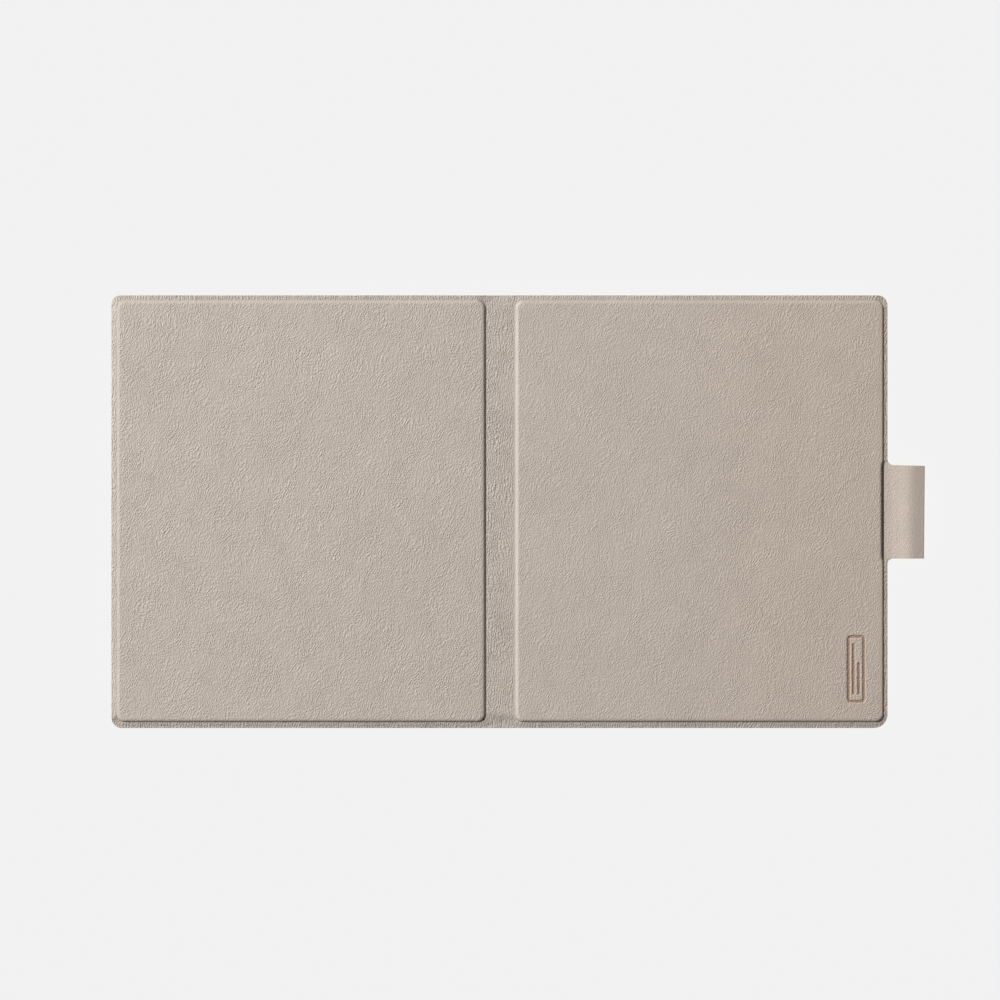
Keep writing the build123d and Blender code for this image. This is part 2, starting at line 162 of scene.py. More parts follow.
# Lining
LINING_INSET = 0.35
LINING_ENDS = (143.7, 143.3)         # back and front, before the inset
LINING_DENSE = 6.0       # closer rows up to here, where the sheet folds
LINING_TURN = 5.5        # closer rows over the rounded corners
LINING_ROWS = 48


def smooth(value, low=0.0, high=1.0):
    t = min(max((value - low) / (high - low), 0.0), 1.0)
    return t * t * (3 - 2 * t)


def mix(a, b, t):
    return a + (b - a) * t


# ---------------------------------------------------------------- materials


class Nodes:
    """A material whose nodes are made one call at a time."""

    def __init__(self, name):
        self.material = bpy.data.materials.new(name)
        self.material.use_nodes = True
        self.tree = self.material.node_tree
        self.tree.nodes.clear()
        self.shader = self.add("ShaderNodeBsdfPrincipled")
        output = self.add("ShaderNodeOutputMaterial")
        self.tree.links.new(self.shader.outputs[0], output.inputs["Surface"])

    def add(self, kind, inputs=None, **settings):
        node = self.tree.nodes.new(kind)
        for name, value in settings.items():
            setattr(node, name, value)
        for key, value in (inputs or {}).items():
            self.put(node, key, value)
        return node

    def put(self, node, key, value):
        socket = node.inputs[key]
        if isinstance(value, bpy.types.NodeSocket):
            self.tree.links.new(value, socket)
        else:
            socket.default_value = value

    def attribute(self, name, output="Fac"):
        return self.add("ShaderNodeAttribute", attribute_name=name).outputs[output]

    def object_place(self):
        return self.add("ShaderNodeTexCoord").outputs["Object"]

    def maths(self, operation, a, b=0.0, c=0.0):
        return self.add("ShaderNodeMath", {0: a, 1: b, 2: c}, operation=operation).outputs[0]

    def vector(self, operation, a, b):
        return self.add("ShaderNodeVectorMath", {0: a, 1: b}, operation=operation).outputs[0]

    def noise(self, vector, scale, detail=2.0, roughness=0.5, output="Fac"):
        inputs = {"Vector": vector, "Scale": scale, "Detail": detail, "Roughness": roughness}
        return self.add("ShaderNodeTexNoise", inputs).outputs[output]

    def cells(self, vector, scale, feature="DISTANCE_TO_EDGE"):
        inputs = {"Vector": vector, "Scale": scale}
        return self.add("ShaderNodeTexVoronoi", inputs, feature=feature).outputs["Distance"]

    def ramp(self, value, low, high, start=0.0, end=1.0):
        inputs = {"Value": value, "From Min": low, "From Max": high, "To Min": start, "To Max": end}
        node = self.add("ShaderNodeMapRange", inputs, interpolation_type="SMOOTHSTEP")
        return node.outputs["Result"]

    def blend(self, factor, a, b, mode="MIX"):
        node = self.add("ShaderNodeMix", data_type="RGBA", blend_type=mode)
        self.put(node, 0, factor)
        self.put(node, 6, a)
        self.put(node, 7, b)
        return node.outputs[2]

    def shade(self, **values):
        names = {"color": "Base Color", "roughness": "Roughness", "metallic": "Metallic",
                 "normal": "Normal", "specular": "Specular IOR Level", "sheen": "Sheen Weight",
                 "sheen_roughness": "Sheen Roughness", "transmission": "Transmission Weight",
                 "glow": "Emission Strength"}
        for key, value in values.items():
            self.put(self.shader, names[key], value)
        return self.material

    def bump(self, height, depth_mm):
        inputs = {"Height": height, "Distance": depth_mm * MM, "Strength": 1.0}
        return self.add("ShaderNodeBump", inputs).outputs["Normal"]


def rgba(red, green, blue):
    return (red, green, blue, 1.0)


def scaled(color, factor):
    return tuple(c * factor for c in color[:3]) + (1.0,)


LEATHER = rgba(0.56, 0.495, 0.441)
WARMER = rgba(1.0, 0.972, 0.955)     # tone of the front cover towards the fore edge


def leatherette():
    """Greige leatherette: short creases between small raised grains, in patches."""
    n = Nodes("folio_leatherette")
    place = n.attribute("grain", "Vector")
    zone = n.attribute("zone")
    amount = n.attribute("grain_amount")
    drift = n.vector("SUBTRACT", n.noise(place, 0.08, 2.5, output="Color"), (0.5, 0.5, 0.5))
    warped = n.vector("ADD", place, n.vector("MULTIPLY", drift, (8.5, 8.5, 0.0)))

    def turned(angle):
        return n.add("ShaderNodeVectorRotate", {"Vector": warped, "Angle": radians(angle)},
                     rotation_type="Z_AXIS").outputs[0]

    def wrinkles(angle, pitch, wander):
        inputs = {"Vector": turned(angle), "Scale": 2 * pi / 20 / pitch, "Distortion": wander,
                  "Detail": 2.0, "Detail Scale": 6.5, "Detail Roughness": 0.6}
        return n.add("ShaderNodeTexWave", inputs, bands_direction="Y").outputs["Fac"]

    def pebbles(angle, length, width):
        stretched = n.vector("MULTIPLY", turned(angle), (1 / length, 1 / width, 1.0))
        return n.ramp(n.cells(stretched, 1.0, "F1"), 0.0, 0.75, 0.8, -0.2)

    def centred(value):
        return n.maths("SUBTRACT", value, 0.5)

    flow = n.maths("MULTIPLY", centred(wrinkles(-70, 0.84, 6.0)), 0.3)
    panel = n.maths("MULTIPLY_ADD", pebbles(-70, 0.74, 0.58), 0.8, flow)
    upright = n.maths("MULTIPLY", centred(wrinkles(-89, 0.88, 5.0)), 0.7)
    spine = n.maths("MULTIPLY_ADD", pebbles(-89, 1.0, 0.72), 0.75, upright)
    height = n.add("ShaderNodeMix", {0: zone, 2: panel, 3: spine}).outputs[0]
    patch_place = n.vector("MULTIPLY", turned(-60), (0.6, 1.3, 1.0))
    patches = n.ramp(n.noise(patch_place, 0.11, 2.0, 0.6), 0.34, 0.66, 0.75, 1.15)
    depth = n.maths("MULTIPLY", n.maths("MULTIPLY", height, patches), amount)
    color = n.blend(n.ramp(height, -0.16, 0.64), scaled(LEATHER, 0.94), scaled(LEATHER, 1.04))
    cloud = n.ramp(n.noise(place, 0.03, 3.0, 0.6), 0.3, 0.7, 0.98, 1.02)
    color = n.blend(1.0, color, cloud, "MULTIPLY")
    across = n.add("ShaderNodeSeparateXYZ", {0: place}).outputs["X"]
    color = n.blend(n.ramp(across, 20.0, 120.0), color, n.blend(1.0, color, WARMER, "MULTIPLY"))
    stamped = n.blend(1.0, color, rgba(0.70, 0.53, 0.46), "MULTIPLY")
    color = n.blend(n.attribute("mark"), color, stamped)
    # painted shade: darkens the leather towards the foot of each panel's wall and in the slot beside the pen
    # loop, where shadow falls
    color = n.blend(n.attribute("painted_crease_shade"), color, scaled(LEATHER, 0.4))
    roughness = n.ramp(height, -0.16, 0.64, 0.66, 0.5)
    return n.shade(color=color, roughness=roughness, specular=0.35, normal=n.bump(depth, 0.152))


def microfibre():
    """Brushed lining: a soft nap with cloudy direction marks."""
    n = Nodes("folio_lining")
    place = n.attribute("grain", "Vector")
    nap = n.noise(place, 3.2, 3.0, 0.7)
    cloud = n.ramp(n.noise(place, 0.06, 3.0, 0.6), 0.32, 0.68)
    color = n.blend(cloud, rgba(0.21, 0.187, 0.170), rgba(0.242, 0.217, 0.198))
    color = n.blend(n.ramp(nap, 0.3, 0.7, 0.0, 0.35), color, rgba(0.33, 0.30, 0.28))
    roughness = n.ramp(nap, 0.3, 0.7, 0.95, 0.86)
    return n.shade(color=color, roughness=roughness, specular=0.2, sheen=0.45, sheen_roughness=0.5,
                   normal=n.bump(nap, 0.10))


def moulded(name, color, roughness=0.5, spark=0.06, depth=0.012):
    """Moulded plastic with the fine texture of its tool and faint handling marks."""
    n = Nodes(name)
    place = n.object_place()
    texture = n.noise(place, 4200.0, 2.0, 0.6)
    smear = n.noise(place, 55.0, 3.0, 0.6)
    shade_color = n.blend(n.ramp(texture, 0.3, 0.7), scaled(color, 1 - spark), scaled(color, 1 + spark))
    rough = n.ramp(smear, 0.35, 0.7, roughness - 0.02, roughness + 0.03)
    return n.shade(color=shade_color, roughness=rough, specular=0.35, normal=n.bump(texture, depth))


def metal(name, color, roughness=0.35, stretch=(1.0, 14.0, 1.0)):
    """Rolled or brushed metal: fine lines along one direction."""
    n = Nodes(name)
    place = n.vector("MULTIPLY", n.object_place(), stretch)
    lines = n.noise(place, 900.0, 3.0, 0.6)
    shade_color = n.blend(n.ramp(lines, 0.3, 0.7), scaled(color, 0.9), scaled(color, 1.05))
    rough = n.ramp(lines, 0.3, 0.7, roughness - 0.08, roughness + 0.1)
    return n.shade(color=shade_color, metallic=1.0, roughness=rough, normal=n.bump(lines, 0.004))


def film(name, color, roughness, transmission=0.0, depth=0.002):
    """Glass or plastic film with faint unevenness and dust-fine haze."""
    n = Nodes(name)
    place = n.object_place()
    haze = n.noise(place, 70.0, 3.0, 0.6)
    shade_color = n.blend(n.ramp(haze, 0.3, 0.7), scaled(color, 0.97), scaled(color, 1.02))
    rough = n.ramp(haze, 0.3, 0.7, roughness - 0.03, roughness + 0.05)
    return n.shade(color=shade_color, roughness=rough, transmission=transmission,
                   normal=n.bump(haze, depth))


def board_laminate():
    """Green circuit board with a darker weave and copper showing through the lacquer."""
    n = Nodes("circuit_board")
    place = n.object_place()
    tracks = n.ramp(n.cells(place, 420.0), 0.04, 0.09)
    lacquer = n.noise(place, 1500.0, 2.0)
    color = n.blend(tracks, rgba(0.05, 0.17, 0.09), rgba(0.015, 0.085, 0.045))
    return n.shade(color=color, roughness=n.ramp(lacquer, 0.3, 0.7, 0.3, 0.42), normal=n.bump(tracks, 0.01))


def pressed_board():
    """Pressed fibreboard: mottled fibres."""
    n = Nodes("stiff_board")
    place = n.object_place()
    fibres = n.noise(n.vector("MULTIPLY", place, (1.0, 3.0, 1.0)), 1100.0, 4.0, 0.7)
    color = n.blend(n.ramp(fibres, 0.3, 0.7), rgba(0.28, 0.26, 0.24), rgba(0.4, 0.38, 0.35))
    return n.shade(color=color, roughness=0.85, normal=n.bump(fibres, 0.03))


LEATHERETTE = leatherette()
MATERIALS = {
    "folio_leatherette": LEATHERETTE,
    "folio_lining": microfibre(),
    "stiff_board": pressed_board(),
    "magnet": metal("magnet", rgba(0.6, 0.6, 0.62), 0.3),
    "housing_plastic": moulded("housing_plastic", rgba(0.033, 0.033, 0.036), 0.62),
    "key_plastic": moulded("key_plastic", rgba(0.05, 0.05, 0.054), 0.38, 0.04, 0.006),
    "lens_glass": film("lens_glass", rgba(0.62, 0.62, 0.6), 0.34),
    "optic_film": film("optic_film", rgba(0.85, 0.87, 0.88), 0.12, 0.6),
    "e_paper": film("e_paper", rgba(0.72, 0.72, 0.69), 0.6, 0.0, 0.004),
    "foam": moulded("foam", rgba(0.08, 0.08, 0.08), 0.9, 0.3, 0.06),
    "light_metal": metal("light_metal", rgba(0.55, 0.56, 0.58), 0.38),
    "steel": metal("steel", rgba(0.55, 0.55, 0.56), 0.3, (10.0, 1.0, 1.0)),
    "circuit_board": board_laminate(),
    "flex_film": film("flex_film", rgba(0.6, 0.35, 0.08), 0.3),
    "battery_pouch": metal("battery_pouch", rgba(0.45, 0.46, 0.48), 0.42, (1.0, 1.0, 1.0)),
}

for part in frame["record"]["subparts"]:
    node_object = bpy.data.objects[part["node"]]
    node_object.data.materials.clear()
    node_object.data.materials.append(MATERIALS[part["material_slot"]])

# ---------------------------------------------------------------- outlines and grids


def half_side(count, start_radius, end_radius, length, start_square=None, end_square=None):
    """Points along one side of an outline, from one corner's diagonal to the next.

    Each point is (along, inward). A square corner takes the distance from the corner to the
    centre that its rounded neighbours turn about, so that rings of cells stay aligned.
    """
    points = []
    for i in range(count + 1):
        if i < CORNER_STEPS:
            angle = pi / 4 * (1 - i / CORNER_STEPS)
            if start_square is None:
                points.append((start_radius * (1 - sin(angle)), start_radius * (1 - cos(angle))))
            else:
                points.append((start_square * (1 - tan(angle)), 0.0))
        elif i > count - CORNER_STEPS:
            angle = pi / 4 * (1 - (count - i) / CORNER_STEPS)
            if end_square is None:
                points.append((length - end_radius * (1 - sin(angle)), end_radius * (1 - cos(angle))))
            else:
                points.append((length - end_square * (1 - tan(angle)), 0.0))
        else:
            start = start_radius if start_square is None else start_square
            end = end_radius if end_square is None else end_square
            share = (i - CORNER_STEPS) / (count - 2 * CORNER_STEPS)
            points.append((mix(start, length - end, share), 0.0))
    return points


def outline(near, far, bottom, top, radii, square_at=None):
    """A closed ring of points: up the spine side, out along the top, down and back.

    radii are for the corners near-bottom, near-top, far-top and far-bottom. square_at is the
    (outward, down from the top, up from the bottom) place of the spine-side corner centres.
    """
    width = far - near
    height = top - bottom
    out_ref, top_ref, bottom_ref = square_at or (None, None, None)
    r_nb, r_nt, r_ft, r_fb = radii
    up = half_side(CELLS_UP, r_nb, r_nt, height, bottom_ref, top_ref)
    out = half_side(CELLS_OUT, r_nt, r_ft, width, out_ref, None)
    down = half_side(CELLS_UP, r_ft, r_fb, height)
    back = half_side(CELLS_OUT, r_fb, r_nb, width, None, out_ref)
    ring = [(near + t, bottom + s) for s, t in up[:-1]]
    ring += [(near + s, top - t) for s, t in out[:-1]]
    ring += [(far - t, top - s) for s, t in down[:-1]]
    ring += [(far - s, bottom + t) for s, t in back[:-1]]
    return ring


def mean(a, b):
    return (a + b) / 2


def side_mixture(values, at_corner=mean):
    """A value for each point of a ring that passes smoothly from side to side at the corners.

    values are for the spine side, the top, the fore edge and the bottom.
    """
    counts = [CELLS_UP, CELLS_OUT, CELLS_UP, CELLS_OUT]
    ring = []
    for index, count in enumerate(counts):
        before = values[index - 1]
        value = values[index]
        after = values[(index + 1) % 4]
        for i in range(count):
            if i < CORNER_STEPS:
                ring.append(mix(at_corner(before, value), value, i / CORNER_STEPS))
            elif i > count - CORNER_STEPS:
                ring.append(mix(at_corner(after, value), value, (count - i) / CORNER_STEPS))
            else:
                ring.append(value)
    return ring


def filled_grid(ring):
    """Rows of points that fill a ring, row by row from the bottom to the top."""
    n_up = CELLS_UP
    n_out = CELLS_OUT
    near = [ring[j] for j in range(n_up + 1)]
    top = [ring[n_up + i] for i in range(n_out + 1)]
    far = [ring[2 * n_up + n_out - j] for j in range(n_up + 1)]
    bottom = [ring[(2 * n_up + 2 * n_out - i) % len(ring)] for i in range(n_out + 1)]
    rows = []
    for j in range(n_up + 1):
        v = j / n_up
        row = []
        for i in range(n_out + 1):
            u = i / n_out
            point = []
            for axis in (0, 1):
                across = mix(near[j][axis], far[j][axis], u)
                along = mix(bottom[i][axis], top[i][axis], v)
                corners = mix(mix(bottom[0][axis], bottom[-1][axis], u),
                              mix(top[0][axis], top[-1][axis], u), v)
                point.append(across + along - corners)
            row.append(tuple(point))
        rows.append(row)
    return rows


def waves(x, y, layer=1.0):
    """Slight unevenness of a laminated sheet, in millimetres."""
    broad = noise.noise(Vector((x * 0.03, y * 0.03, layer)))
    middle = noise.noise(Vector((x * 0.11, y * 0.11, layer + 5)))
    small = noise.noise(Vector((x * 0.42, y * 0.42, layer + 9)))
    return 0.06 * broad + 0.006 * middle + 0.002 * small


# ---------------------------------------------------------------- outer skin


def mark_distance(x, y):
    """Distance from the ornament's strokes, below zero inside them."""
    half_w = (MARK_W - MARK_STROKE) / 2
    half_l = (MARK_LENGTH - MARK_STROKE) / 2
    corner = MARK_CORNER - MARK_STROKE / 2
    dx = abs(x) - half_w + corner
    dy = abs(y) - half_l + corner
    outside = hypot(max(dx, 0.0), max(dy, 0.0)) + min(max(dx, dy), 0.0) - corner
    distance = abs(outside) - MARK_STROKE / 2
    for line_x, length in MARK_LINES:
        low = MARK_LINE_START + MARK_STROKE / 2 - MARK_LENGTH / 2
        high = low + length - MARK_STROKE
        past = max(low - y, y - high, 0.0)
        distance = min(distance, hypot(x - line_x, past) - MARK_STROKE / 2)
    return distance


class Skin:
    """One half of the outer skin: a cover's panel and border, and its half of the spine.

    A panel's wall differs from side to side, so each of these has four values, for the spine
    side, the top, the fore edge and the bottom: the width of the wall, the slope of the border
    in degrees, the rise of the border at the foot, how late the wall drops, how much it eases
    out at the foot, and how much painted shade darkens the crease along the foot.
    """

    def __init__(self, side, pad_near, end, fore_corners, widths, slopes, rises, bends, eases, seam_shades):
        self.side = side
        pad_corners = [PAD_CORNER] * 4
        out_ref = pad_near + PAD_CORNER
        top_ref = COVER_TOP - PAD_TOP + PAD_CORNER
        bottom_ref = PAD_BOTTOM + COVER_TOP + PAD_CORNER
        corners = [0.0, 0.0] + list(fore_corners)
        square = (out_ref, top_ref, bottom_ref)
        self.foot = outline(pad_near, PAD_FAR, PAD_BOTTOM, PAD_TOP, pad_corners)
        near_w, top_w, far_w, bottom_w = widths
        self.shoulder = outline(pad_near + near_w, PAD_FAR - far_w, PAD_BOTTOM + bottom_w, PAD_TOP - top_w,
                                [PAD_CORNER * SHOULDER_SHARE] * 4)
        inset = (out_ref, top_ref - EDGE_ROUND, bottom_ref - EDGE_ROUND)
        inner_corners = [0.0, 0.0] + [r - EDGE_ROUND for r in fore_corners]
        self.edge_in = outline(0.0, end - EDGE_ROUND, EDGE_ROUND - COVER_TOP, COVER_TOP - EDGE_ROUND,
                               inner_corners, inset)
        self.edge = outline(0.0, end, -COVER_TOP, COVER_TOP, corners, square)
        self.slope = side_mixture([tan(radians(a)) for a in slopes])
        self.border = side_mixture([BORDER_Z + rise for rise in rises], min)
        self.bend = side_mixture(bends)
        self.ease = side_mixture(eases, min)
        # strength of the painted shade along each side's foot
        self.seam_shade = side_mixture(seam_shades, max)
        self.board = outline(BOARD_FOOT + SKIN_T, PAD_FAR - SKIN_T, PAD_BOTTOM + SKIN_T, PAD_TOP - SKIN_T,
                             [PAD_CORNER - SKIN_T] * 4)
        self.at_loop = [0.0] * len(self.foot)
        self.end = end
        self.mesh = bmesh.new()
        layers = self.mesh.verts.layers.float
        self.zone = layers.new("zone")
        self.amount = layers.new("grain_amount")
        self.mark = layers.new("mark")
        self.painted_crease_shade = layers.new("painted_crease_shade")

    def set_loop(self):
        """Beside the pen loop the panel's wall is steep and the border dips under the loop."""
        for k in range(CELLS_UP + CELLS_OUT, 2 * CELLS_UP + CELLS_OUT):
            y = self.foot[k][1]
            t = 1 - smooth(abs(y), LOOP_HALF - 0.4, LOOP_HALF + 1.6)
            # the loop's weight also fills the slot beside the loop with painted shade
            self.at_loop[k] = t
            x_foot = mix(self.foot[k][0], self.end - LOOP_FOOT, t)
            x_shoulder = mix(self.shoulder[k][0], self.end - LOOP_SHOULDER, t)
            self.bend[k] = mix(self.bend[k], 3.0, t)
            self.foot[k] = (x_foot, y)
            self.shoulder[k] = (x_shoulder, self.shoulder[k][1])

    def vertex(self, out, y, z, zone, relief=1.0, amount=1.0):
        x = SPINE_X + self.side * out
        rise = waves(x, y) * relief
        vert = self.mesh.verts.new((x, y, z + rise))
        vert[self.zone] = zone
        vert[self.amount] = amount * mix(1.0, SPINE_GRAIN, zone) * PANEL_GRAIN[self.side > 0]
        return vert

    def flange_level(self, k, distance):
        level = self.border[k] - self.slope[k] * max(distance - FOOT_FLAT, 0.0)
        return mix(max(level, SKIN_Z + EDGE_MIN), SKIN_Z + EDGE_MIN, self.at_loop[k])

    def build(self):
        count = len(self.foot)
        rows = filled_grid(self.shoulder)
        grid = [[self.vertex(out, y, PAD_Z, 0.0) for out, y in row] for row in rows]
        for j in range(CELLS_UP):
            for i in range(CELLS_OUT):
                self.face([grid[j][i], grid[j][i + 1], grid[j + 1][i + 1], grid[j + 1][i]])
        near = [grid[j][0] for j in range(CELLS_UP)]
        top = [grid[CELLS_UP][i] for i in range(CELLS_OUT)]
        far = [grid[j][CELLS_OUT] for j in range(CELLS_UP, 0, -1)]
        bottom = [grid[0][i] for i in range(CELLS_OUT, 0, -1)]
        ring = near + top + far + bottom

        for step in range(1, ROLL_STEPS + 1):
            t = 1 - (1 - step / ROLL_STEPS) ** 1.4
            above = []
            for k in range(count):
                drop = 0.1 * t + 0.9 * t ** self.bend[k]
                drop = mix(drop, smooth(t), self.ease[k])
                out = mix(self.shoulder[k][0], self.foot[k][0], t)
                y = mix(self.shoulder[k][1], self.foot[k][1], t)
                z = mix(PAD_Z, self.flange_level(k, 0.0), drop)
                vert = self.vertex(out, y, z, 0.15 * t, 1 - 0.5 * t, 1 - 0.65 * smooth(t, 0, 0.6))
                # painted shade darkening the lower part of the wall towards its foot
                vert[self.painted_crease_shade] = max(self.at_loop[k], self.seam_shade[k]) * smooth(t, 0.5, 1.0)
                above.append(vert)
            self.band(ring, above)
            ring = above

        spans = [hypot(b[0] - a[0], b[1] - a[1]) for a, b in zip(self.foot, self.edge_in)]
        for step in range(1, FLANGE_STEPS + 1):
            t = step / FLANGE_STEPS
            level = []
            for k in range(count):
                out = mix(self.foot[k][0], self.edge_in[k][0], t)
                y = mix(self.foot[k][1], self.edge_in[k][1], t)
                z = self.flange_level(k, t * spans[k])
                vert = self.vertex(out, y, z, 0.15 + 0.85 * smooth(t, 0.0, 0.15), 0.5,
                                   0.35 + 0.65 * smooth(t, 0.0, 0.12))
                past_foot = smooth(t * spans[k], 0.0, SEAM_SHADE_W)
                # the painted shade runs on past the foot and fades over a short width of border; beside the
                # loop it fills the slot
                vert[self.painted_crease_shade] = max(self.at_loop[k], self.seam_shade[k] * (1 - past_foot))
                level.append(vert)
            self.band(ring, level)
            ring = level

        heights = [vert.co.z for vert in ring]
        for step in range(1, EDGE_STEPS + 1):
            angle = pi / 2 * step / EDGE_STEPS
            level = []
            for k in range(count):
                out = mix(self.edge_in[k][0], self.edge[k][0], sin(angle))
                y = mix(self.edge_in[k][1], self.edge[k][1], sin(angle))
                z = heights[k] - EDGE_ROUND * (1 - cos(angle))
                level.append(self.plain_vertex(out, y, z))
            self.band(ring, level)
            ring = level

        for outer, z in ((self.edge, SKIN_Z + EDGE_LIP), (self.edge_in, SKIN_Z)):
            level = [self.plain_vertex(out, y, z) for out, y in outer]
            self.band(ring, level)
            ring = level
        for step in range(FLANGE_STEPS - 1, -1, -1):
            t = step / FLANGE_STEPS
            level = []
            for k in range(count):
                out = mix(self.foot[k][0], self.edge_in[k][0], t)
                y = mix(self.foot[k][1], self.edge_in[k][1], t)
                level.append(self.plain_vertex(out, y, SKIN_Z))
            self.band(ring, level)
            ring = level
        for z in (SKIN_Z, BOARD_TOP_Z):
            level = [self.plain_vertex(out, y, z) for out, y in self.board]
            self.band(ring, level)
            ring = level
        self.face(ring[::-1])

    def plain_vertex(self, out, y, z):
        vert = self.mesh.verts.new((SPINE_X + self.side * out, y, z))
        vert[self.zone] = 1.0
        vert[self.amount] = 1.0
        return vert

    def face(self, verts):
        face = self.mesh.faces.new(verts if self.side > 0 else verts[::-1])
        face.smooth = True
        return face

    def band(self, inner, outer):
        count = len(inner)
        for k in range(count):
            after = (k + 1) % count
            self.face([inner[k], inner[after], outer[after], outer[k]])

    def stamp(self):
        """Deboss the ornament, on cells made fine enough for its strokes."""
        def inside(vert, margin):
            x = vert.co.x - SPINE_X - MARK_X
            y = vert.co.y - MARK_Y
            return (vert.co.z > BOARD_TOP_Z + 0.3 and abs(x) < MARK_W / 2 + margin
                    and abs(y) < MARK_LENGTH / 2 + margin)

        for _ in range(2):
            edges = [e for e in self.mesh.edges if all(inside(v, 0.8) for v in e.verts)]
            bmesh.ops.subdivide_edges(self.mesh, edges=edges, cuts=1, use_grid_fill=True)
        for vert in self.mesh.verts:
            if inside(vert, 0.6):
                distance = mark_distance(vert.co.x - SPINE_X - MARK_X, vert.co.y - MARK_Y)
                pressed = 1 - smooth(distance, -MARK_SOFT, MARK_SOFT)
                vert.co.z -= MARK_DEPTH * pressed
                vert[self.mark] = pressed

    def finish(self, name):
        """Make the object, with the place of every point in the grain kept as an attribute."""
        bmesh.ops.recalc_face_normals(self.mesh, faces=self.mesh.faces)
        grain = [(v.co.x, v.co.y, PAD_Z - v.co.z) for v in self.mesh.verts]
        return finished(name, self.mesh, LEATHERETTE, grain)


def finished(name, mesh, material, grain):
    for face in mesh.faces:
        face.smooth = True
    bmesh.ops.scale(mesh, vec=(MM, MM, MM), verts=mesh.verts)
    data = bpy.data.meshes.new(name)
    mesh.to_mesh(data)
    mesh.free()
    attribute = data.attributes.new("grain", "FLOAT_VECTOR", "POINT")
    attribute.data.foreach_set("vector", [c for point in grain for c in point])
    data.materials.append(material)
    piece = bpy.data.objects.new(name, data)
    bpy.context.scene.collection.objects.link(piece)
    data.set_sharp_from_angle(angle=radians(50))
    return piece


def fold_blend(piece, side, cover):
    """The piece turns with its cover outside the fold and with the spine inside it."""
    outer = SPINE_X + side * (FOLD + FOLD_SOFT)
    inner = SPINE_X + side * (FOLD - FOLD_SOFT)
    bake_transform(piece, cover, "spine", (outer * MM, 0, 0), (inner * MM, 0, 0))


back_skin = Skin(side=-1, pad_near=5.35, end=BACK_END, fore_corners=BACK_CORNERS,
                 widths=(1.8, 1.4, 1.3, 1.5), slopes=(-1.6, 3, 10, 13), rises=(0.12, 0.5, 0.5, -0.06),
                 bends=(3, 2, 2, 3.2), eases=(0, 0.8, 0.6, 0), seam_shades=(0.75, 0, 0, 0.4))
back_skin.build()
back_skin_piece = back_skin.finish("back_skin")
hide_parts("back_cover_skin")
fold_blend(back_skin_piece, -1, "back_cover")

front_skin = Skin(side=1, pad_near=5.5, end=FRONT_END, fore_corners=FRONT_CORNERS,
                  widths=(1.45, 1.4, 2.0, 1.5), slopes=(0.2, 3, 4, 13), rises=(0.28, 0.5, 0.16, -0.06),
                  bends=(2, 2, 8, 3.2), eases=(0.8, 0.8, 0, 0), seam_shades=(0, 0, 0, 0.4))
front_skin.set_loop()
front_skin.build()
front_skin.stamp()
front_skin_piece = front_skin.finish("front_skin")
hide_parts("front_cover_skin", "spine_skin")
fold_blend(front_skin_piece, 1, "front_cover")

# ---------------------------------------------------------------- thin sheets


def slab(name, upper, lower, material, grain, amounts=None):
    """A closed sheet between two grids of points, with its four edges slightly rounded."""
    mesh = bmesh.new()
    layers = mesh.verts.layers.float
    # the painted crease shade layer stays empty on these sheets
    for layer in ("zone", "mark", "painted_crease_shade"):
        layers.new(layer)
    amount = layers.new("grain_amount")
    rows = len(upper)
    columns = len(upper[0])
    places = []

    def point(value, j, i):
        vert = mesh.verts.new(value)
        vert[amount] = amounts[j] if amounts else 1.0
        places.append(grain[j][i])
        return vert

    top = [[point(upper[j][i], j, i) for i in range(columns)] for j in range(rows)]
    base = [[point(lower[j][i], j, i) for i in range(columns)] for j in range(rows)]
    for j in range(rows - 1):
        for i in range(columns - 1):
            mesh.faces.new([top[j][i], top[j][i + 1], top[j + 1][i + 1], top[j + 1][i]])
            mesh.faces.new([base[j][i], base[j + 1][i], base[j + 1][i + 1], base[j][i + 1]])
    rim = [(0, i) for i in range(columns - 1)]
    rim += [(j, columns - 1) for j in range(rows - 1)]
    rim += [(rows - 1, i) for i in range(columns - 1, 0, -1)]
    rim += [(j, 0) for j in range(rows - 1, 0, -1)]
    middle = []
    for j, i in rim:
        a = Vector(upper[j][i])
        b = Vector(lower[j][i])
        inside_j = min(max(j, 1), rows - 2)
        inside_i = min(max(i, 1), columns - 2)
        outward = a - Vector(upper[inside_j][inside_i])
        if outward.length > 0:
            outward.normalize()
        bulge = outward * min((a - b).length * 0.05, 0.03)
        middle.append([point(a.lerp(b, 0.2) + bulge, j, i), point(a.lerp(b, 0.8) + bulge, j, i)])
    for index, (j, i) in enumerate(rim):
        after = (index + 1) % len(rim)
        nj, ni = rim[after]
        chain = [top[j][i], middle[index][0], middle[index][1], base[j][i]]
        next_chain = [top[nj][ni], middle[after][0], middle[after][1], base[nj][ni]]
        for a, b, c, d in zip(chain, chain[1:], next_chain[1:], next_chain):
            mesh.faces.new([a, b, c, d])
    bmesh.ops.recalc_face_normals(mesh, faces=mesh.faces)
    return finished(name, mesh, material, places)


